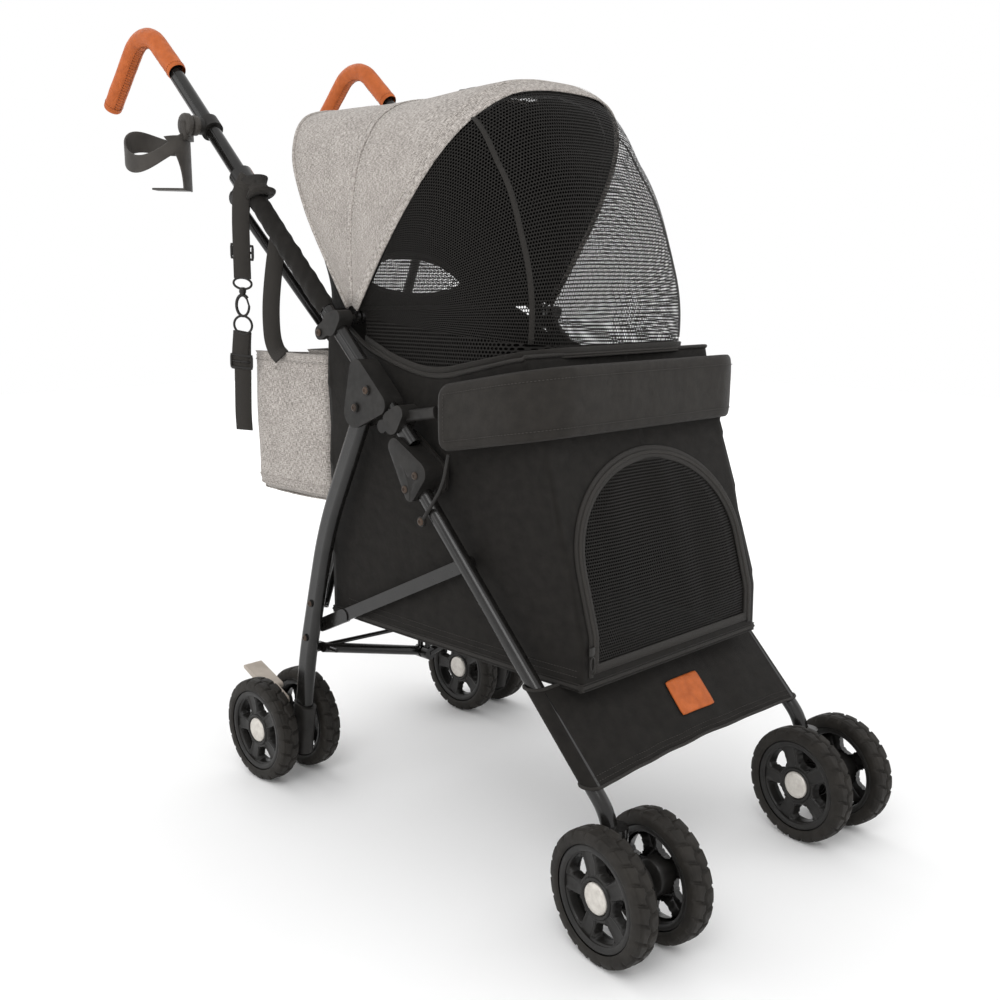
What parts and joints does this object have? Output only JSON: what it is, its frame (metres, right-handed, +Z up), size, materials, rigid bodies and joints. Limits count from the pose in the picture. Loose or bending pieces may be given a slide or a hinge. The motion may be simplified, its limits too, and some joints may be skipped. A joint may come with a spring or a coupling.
{
  "type": "pet stroller",
  "caption": "Umbrella-fold pet stroller with a zipped mesh-hooded cabin, arched mesh door, twin-wheel casters, hooked handles, rear bag and cup holder.",
  "frame": {"origin": "middle of the underside of the bounding box, on the floor", "axes": "+Z up, -Y towards the front casters, +Y towards the handles, -X the right side as the pusher stands"},
  "size_m": [0.5402, 1.1058, 1.0318],
  "materials": {
    "tube_black": "gloss powder-coated steel tube",
    "tan_grip": "stitched tan imitation leather",
    "plastic_black": "fine-grained moulded plastic",
    "plastic_gloss": "smooth moulded plastic",
    "pedal_grey": "light grey moulded plastic",
    "tyre": "solid foam tyre with block tread",
    "rim": "moulded five-spoke rim",
    "hub_silver": "warm silver cap",
    "cloth_black": "plain-woven black polyester",
    "mesh_black": "open knitted mesh",
    "melange_grey": "warm grey melange weave",
    "webbing_black": "ribbed webbing"
  },
  "bodies": {
    "carriage": {"tub_shell": "cloth_black", "floor_pad": "cloth_black", "front_apron": "cloth_black", "bumper_cover": "cloth_black", "storage_bag": "melange_grey", "canopy_rear": "melange_grey", "rear_bow": "tube_black"},
    "hood": {"canopy_front": "melange_grey", "front_bow": "tube_black", "hood_mesh": "mesh_black"},
    "door": {"door_flap": "mesh_black"},
    "zip": {"zip_slider": "plastic_gloss"},
    "cup": {"cup_holder": "plastic_black"},
    "side_right": {"handle_tube_right": "tube_black", "handle_grip_right": "tan_grip", "leg_bracket_right": "plastic_black", "front_leg_right": "tube_black", "latch_housing_right": "plastic_black", "bumper_clamp_right": "plastic_black", "hood_hinge_right": "plastic_black", "cup_clamp": "plastic_black", "carry_strap": "webbing_black", "snap_hook": "plastic_gloss"},
    "leg_right": {"rear_leg_right": "tube_black", "rear_axle_block_right": "plastic_black"},
    "strut_right": {"side_strut_right": "tube_black"},
    "yoke_right": {"brace_yoke_right": "plastic_black"},
    "brace_right": {"rear_brace_right": "tube_black"},
    "link_right": {"cross_link_right": "tube_black"},
    "caster_right": {"caster_fork_right": "plastic_black"},
    "front_wheels_right": {"front_tyres_right": "tyre", "front_rims_right": "rim", "front_hub_caps_right": "hub_silver"},
    "rear_wheels_right": {"rear_tyres_right": "tyre", "rear_rims_right": "rim", "rear_hub_caps_right": "hub_silver"},
    "brake_right": {"brake_pedal_right": "pedal_grey"},
    "lever_right": {"fold_lever_right": "plastic_gloss"},
    "side_left": {"handle_tube_left": "tube_black", "handle_grip_left": "tan_grip", "leg_bracket_left": "plastic_black", "front_leg_left": "tube_black", "latch_housing_left": "plastic_black", "bumper_clamp_left": "plastic_black", "hood_hinge_left": "plastic_black"},
    "leg_left": {"rear_leg_left": "tube_black", "rear_axle_block_left": "plastic_black"},
    "strut_left": {"side_strut_left": "tube_black"},
    "yoke_left": {"brace_yoke_left": "plastic_black"},
    "brace_left": {"rear_brace_left": "tube_black"},
    "link_left": {"cross_link_left": "tube_black"},
    "caster_left": {"caster_fork_left": "plastic_black"},
    "front_wheels_left": {"front_tyres_left": "tyre", "front_rims_left": "rim", "front_hub_caps_left": "hub_silver"},
    "rear_wheels_left": {"rear_tyres_left": "tyre", "rear_rims_left": "rim", "rear_hub_caps_left": "hub_silver"},
    "brake_left": {"brake_pedal_left": "pedal_grey"},
    "lever_left": {"fold_lever_left": "plastic_gloss"}
  },
  "joints": [
    {"name": "fold", "type": "slide", "parent": "carriage", "child": "side_right", "axis": [1, 0, 0], "range_m": [0, 0.105], "deforming": ["tub_shell", "door_flap", "floor_pad", "front_apron", "bumper_cover", "storage_bag", "canopy_rear", "canopy_front", "hood_mesh", "front_bow", "rear_bow", "zip_slider"]},
    {"name": "fold_left_side", "type": "slide", "parent": "carriage", "child": "side_left", "axis": [-1, 0, 0], "range_m": [0, 0.105]},
    {"name": "leg_fold_right", "type": "hinge", "parent": "side_right", "child": "leg_right", "pos_m": [-0.16825, -0.05063, 0.53], "axis": [-1, 0, 0], "range_deg": [0, 31.98]},
    {"name": "strut_fold_right", "type": "hinge", "parent": "side_right", "child": "strut_right", "pos_m": [-0.15305, -0.21763, 0.362], "axis": [-1, 0, 0], "range_deg": [0, 29.5]},
    {"name": "brace_tilt_right", "type": "hinge", "parent": "side_right", "child": "yoke_right", "pos_m": [-0.16825, 0.21337, 0.788], "axis": [-1, 0, 0], "range_deg": [0, 13.61]},
    {"name": "brace_swing_right", "type": "hinge", "parent": "yoke_right", "child": "brace_right", "pos_m": [-0.14225, 0.21337, 0.788], "axis": [0, 0.9609, -0.2769], "range_deg": [0, 20.28]},
    {"name": "link_fold_right", "type": "hinge", "parent": "leg_right", "child": "link_right", "pos_m": [-0.14625, 0.08137, 0.193], "axis": [0, 1, 0], "range_deg": [0, 54.35]},
    {"name": "caster_swivel_right", "type": "hinge", "parent": "side_right", "child": "caster_right", "pos_m": [-0.16825, -0.45063, 0.1], "axis": [0, 0, 1], "continuous": true},
    {"name": "front_wheels_spin_right", "type": "hinge", "parent": "caster_right", "child": "front_wheels_right", "pos_m": [-0.17224, -0.47531, 0.071], "axis": [0.9871, -0.1599, 0], "continuous": true},
    {"name": "rear_wheels_spin_right", "type": "hinge", "parent": "leg_right", "child": "rear_wheels_right", "pos_m": [-0.16825, 0.14637, 0.071], "axis": [1, 0, 0], "continuous": true},
    {"name": "brake_press_right", "type": "hinge", "parent": "leg_right", "child": "brake_right", "pos_m": [-0.16825, 0.14437, 0.104], "axis": [-1, 0, 0], "range_deg": [0, 14]},
    {"name": "fold_lever_pull_right", "type": "hinge", "parent": "side_right", "child": "lever_right", "pos_m": [-0.15425, -0.16063, 0.46], "axis": [-1, 0, 0], "range_deg": [0, 12], "stiffness_Nm_per_rad": 0.3},
    {"name": "leg_fold_left", "type": "hinge", "parent": "side_left", "child": "leg_left", "pos_m": [0.21175, -0.05063, 0.53], "axis": [-1, 0, 0], "range_deg": [0, 31.98]},
    {"name": "strut_fold_left", "type": "hinge", "parent": "side_left", "child": "strut_left", "pos_m": [0.19655, -0.21763, 0.362], "axis": [-1, 0, 0], "range_deg": [0, 29.5]},
    {"name": "brace_tilt_left", "type": "hinge", "parent": "side_left", "child": "yoke_left", "pos_m": [0.21175, 0.21337, 0.788], "axis": [-1, 0, 0], "range_deg": [0, 13.61]},
    {"name": "brace_swing_left", "type": "hinge", "parent": "yoke_left", "child": "brace_left", "pos_m": [0.18575, 0.21337, 0.788], "axis": [0, -0.9609, 0.2769], "range_deg": [0, 20.28]},
    {"name": "link_fold_left", "type": "hinge", "parent": "leg_left", "child": "link_left", "pos_m": [0.18975, 0.08137, 0.193], "axis": [0, -1, 0], "range_deg": [0, 54.35]},
    {"name": "caster_swivel_left", "type": "hinge", "parent": "side_left", "child": "caster_left", "pos_m": [0.21175, -0.45063, 0.1], "axis": [0, 0, 1], "continuous": true},
    {"name": "front_wheels_spin_left", "type": "hinge", "parent": "caster_left", "child": "front_wheels_left", "pos_m": [0.20776, -0.47531, 0.071], "axis": [0.9871, -0.1599, 0], "continuous": true},
    {"name": "rear_wheels_spin_left", "type": "hinge", "parent": "leg_left", "child": "rear_wheels_left", "pos_m": [0.21175, 0.14637, 0.071], "axis": [1, 0, 0], "continuous": true},
    {"name": "brake_press_left", "type": "hinge", "parent": "leg_left", "child": "brake_left", "pos_m": [0.21175, 0.14437, 0.104], "axis": [-1, 0, 0], "range_deg": [0, 14]},
    {"name": "fold_lever_pull_left", "type": "hinge", "parent": "side_left", "child": "lever_left", "pos_m": [0.19775, -0.16063, 0.46], "axis": [-1, 0, 0], "range_deg": [0, 12], "stiffness_Nm_per_rad": 0.3},
    {"name": "hood_fold", "type": "hinge", "parent": "carriage", "child": "hood", "pos_m": [0.02175, -0.00963, 0.636], "axis": [-1, 0, 0], "range_deg": [0, 32]},
    {"name": "door_drop", "type": "hinge", "parent": "carriage", "child": "door", "pos_m": [0.02175, -0.38213, 0.2676], "axis": [1, 0, 0], "range_deg": [0, 95]},
    {"name": "door_zip", "type": "slide", "parent": "carriage", "child": "zip", "axis": [0, 0, 1], "range_m": [0, 0.03]},
    {"name": "cup_swivel", "type": "hinge", "parent": "side_right", "child": "cup", "pos_m": [-0.19875, 0.27137, 0.88309], "axis": [1, 0, 0], "range_deg": [-20, 20]}
  ],
  "couplings": [
    {"joint": "fold_left_side", "follows": "fold", "ratio": 1},
    {"joint": "leg_fold_right", "follows": "fold", "rad_per_m": 5.3142},
    {"joint": "strut_fold_right", "follows": "fold", "rad_per_m": 4.9021},
    {"joint": "brace_tilt_right", "follows": "fold", "rad_per_m": 2.2613},
    {"joint": "brace_swing_right", "follows": "fold", "rad_per_m": 3.3699},
    {"joint": "link_fold_right", "follows": "fold", "rad_per_m": 9.0326},
    {"joint": "leg_fold_left", "follows": "fold", "rad_per_m": 5.3142},
    {"joint": "strut_fold_left", "follows": "fold", "rad_per_m": 4.9021},
    {"joint": "brace_tilt_left", "follows": "fold", "rad_per_m": 2.2613},
    {"joint": "brace_swing_left", "follows": "fold", "rad_per_m": 3.3699},
    {"joint": "link_fold_left", "follows": "fold", "rad_per_m": 9.0326}
  ]
}
